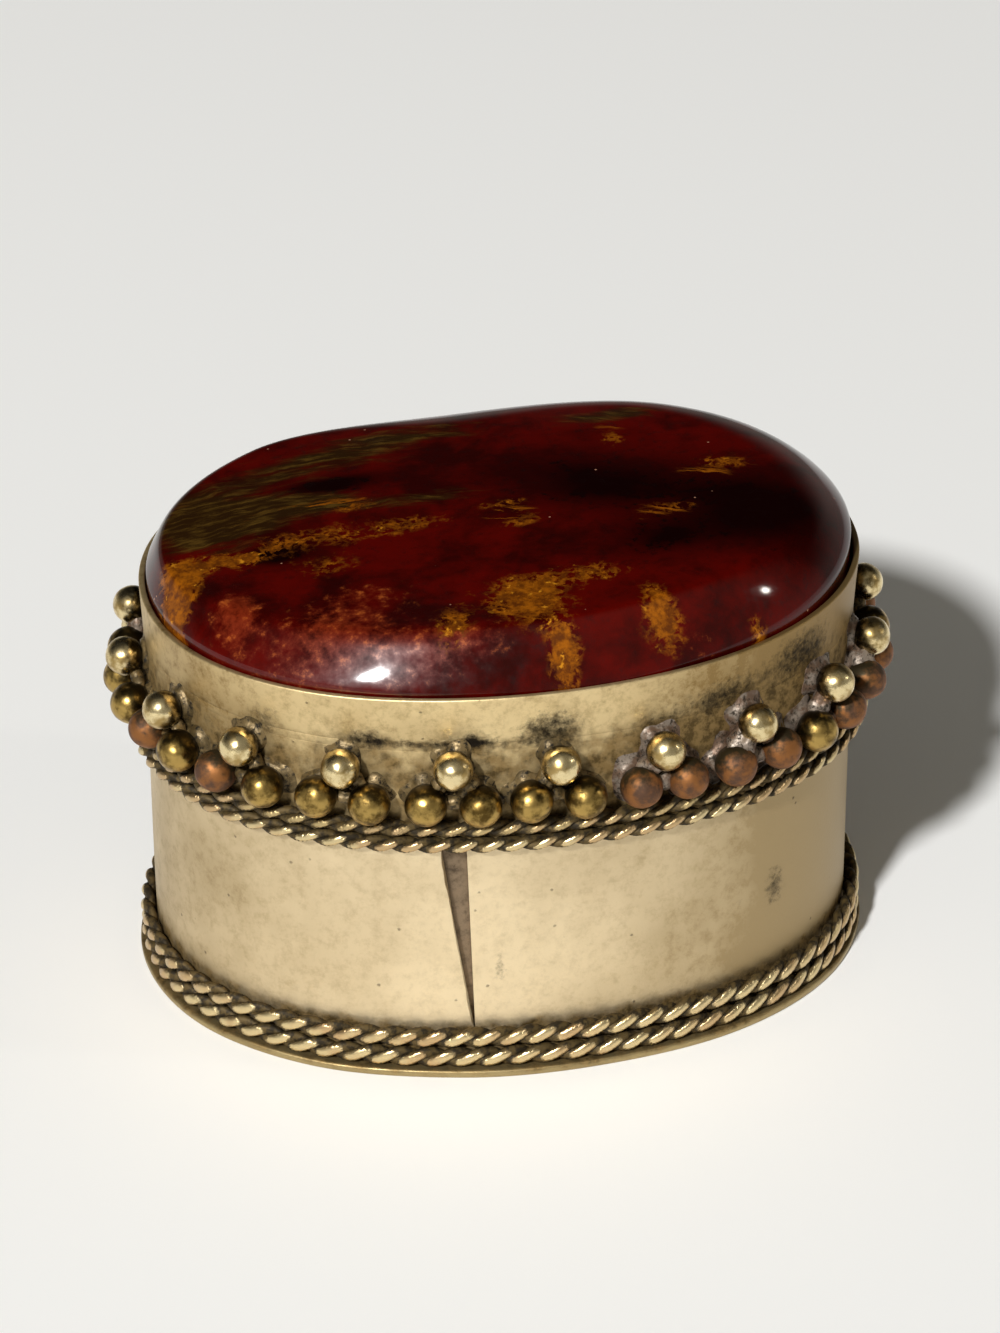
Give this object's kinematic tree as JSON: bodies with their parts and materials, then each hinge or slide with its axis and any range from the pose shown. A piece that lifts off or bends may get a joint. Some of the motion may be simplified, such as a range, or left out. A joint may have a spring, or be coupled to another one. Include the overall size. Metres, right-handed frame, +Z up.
{
  "type": "pill box",
  "caption": "Oval pill box of worn brass sheet. A friction-fit lid, set with a polished jasper cabochon and edged with soldered granules and twisted wire, lifts off an inner neck.",
  "frame": {"origin": "centre of the foot plate's underside, on the surface that the box stands on", "axes": "+X along the oval's long axis, to the right seen from the front; +Y from the front, where the wall's open seam is, to the back; +Z up"},
  "size_m": [0.0502, 0.0398, 0.0313],
  "materials": {
    "wall_brass": "satin",
    "neck_brass": "matte",
    "plate_brass": "satin",
    "wire_brass": "satin",
    "granule_brass": "gloss",
    "jasper": "polished"
  },
  "bodies": {
    "base": {"base_plate": "plate_brass", "base_wall": "wall_brass", "neck_band": "neck_brass", "base_wire_lower": "wire_brass", "base_wire_upper": "wire_brass"},
    "lid": {"lid_skirt": "wall_brass", "lid_wire_lower": "wire_brass", "lid_wire_upper": "wire_brass", "lid_plate": "plate_brass", "bezel_band": "wall_brass", "stone_cabochon": "jasper", "granule_cluster_01": "granule_brass", "granule_cluster_02": "granule_brass", "granule_cluster_03": "granule_brass", "granule_cluster_04": "granule_brass", "granule_cluster_05": "granule_brass", "granule_cluster_06": "granule_brass", "granule_cluster_07": "granule_brass", "granule_cluster_08": "granule_brass", "granule_cluster_09": "granule_brass", "granule_cluster_10": "granule_brass", "granule_cluster_11": "granule_brass", "granule_cluster_12": "granule_brass", "granule_cluster_13": "granule_brass", "granule_cluster_14": "granule_brass", "granule_cluster_15": "granule_brass", "granule_cluster_16": "granule_brass", "granule_cluster_17": "granule_brass", "granule_cluster_18": "granule_brass", "granule_cluster_19": "granule_brass", "granule_cluster_20": "granule_brass"}
  },
  "joints": [
    {"name": "lid_lift", "type": "slide", "parent": "base", "child": "lid", "axis": [0, 0, 1], "range_m": [0, 0.02]}
  ]
}
